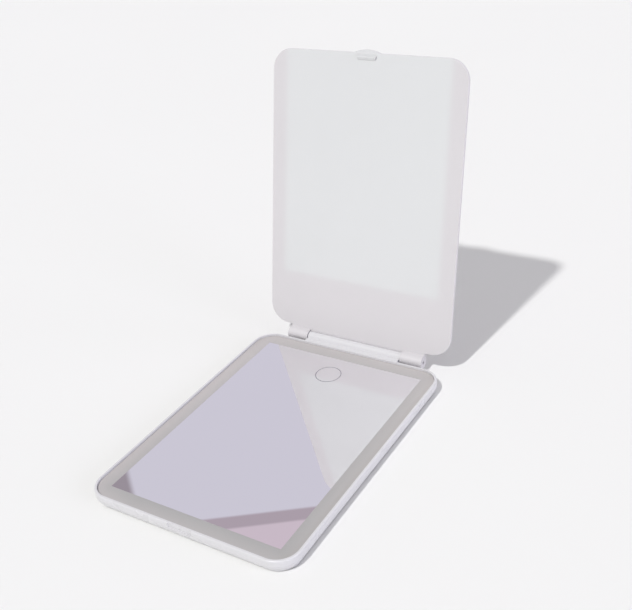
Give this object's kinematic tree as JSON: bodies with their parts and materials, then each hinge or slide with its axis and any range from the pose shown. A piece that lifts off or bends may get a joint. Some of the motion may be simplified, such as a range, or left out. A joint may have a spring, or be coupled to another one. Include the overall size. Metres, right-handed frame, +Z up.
{
  "type": "lighted travel mirror",
  "caption": "Slim folding travel mirror: a flat base with a mirror, frosted light border and touch ring, under a hinged plain white cover.",
  "frame": {"origin": "on the table, under the middle of the open mirror's box", "axes": "+Z up, +X along the hinge to the right of a person facing the mirror, +Y from the mirror's front edge to the hinge"},
  "size_m": [0.1412, 0.2462, 0.2018],
  "materials": {
    "white_shell": "satin white moulded plastic",
    "pane": "polished, frosted along the border",
    "silver": "mirror silver",
    "tape": "foam tape",
    "opal": "opal acrylic",
    "film": "white film",
    "lamp_board": "white solder mask",
    "lamp": "clear silicone over phosphor",
    "circuit_board": "green solder mask",
    "black_resin": "moulded resin",
    "steel": "bright",
    "bush_brass": "turned",
    "clear_acrylic": "clear",
    "foil_pouch": "embossed foil",
    "wire": "insulation",
    "soft_pad": "soft translucent white"
  },
  "bodies": {
    "base": {"front_frame": "white_shell", "rear_cover": "white_shell", "mirror_glass": "pane", "silver_coating": "silver", "glass_tape": "tape", "diffuser_frame": "opal", "reflector_frame": "film", "led_board": "lamp_board", "warm_leds": "lamp", "cool_leds": "lamp", "control_board": "circuit_board", "board_components": "black_resin", "board_screws": "steel", "touch_contact": "steel", "usb_socket": "steel", "usb_tongue": "black_resin", "charge_light_pipe": "clear_acrylic", "battery_cell": "foil_pouch", "battery_tape": "tape", "battery_leads": "wire", "led_leads": "wire", "rear_screws": "steel", "hinge_bush_left": "bush_brass", "hinge_bush_right": "bush_brass", "foot_pad_1": "soft_pad", "foot_pad_2": "soft_pad", "foot_pad_3": "soft_pad", "foot_pad_4": "soft_pad"},
    "cover": {"cover_panel": "white_shell", "hinge_pin_left": "steel", "hinge_pin_right": "steel"}
  },
  "joints": [
    {"name": "cover_hinge", "type": "hinge", "parent": "base", "child": "cover", "pos_m": [0, 0.07425, 0.00824], "axis": [-1, 0, 0], "range_deg": [-103.25, 76.75]}
  ]
}
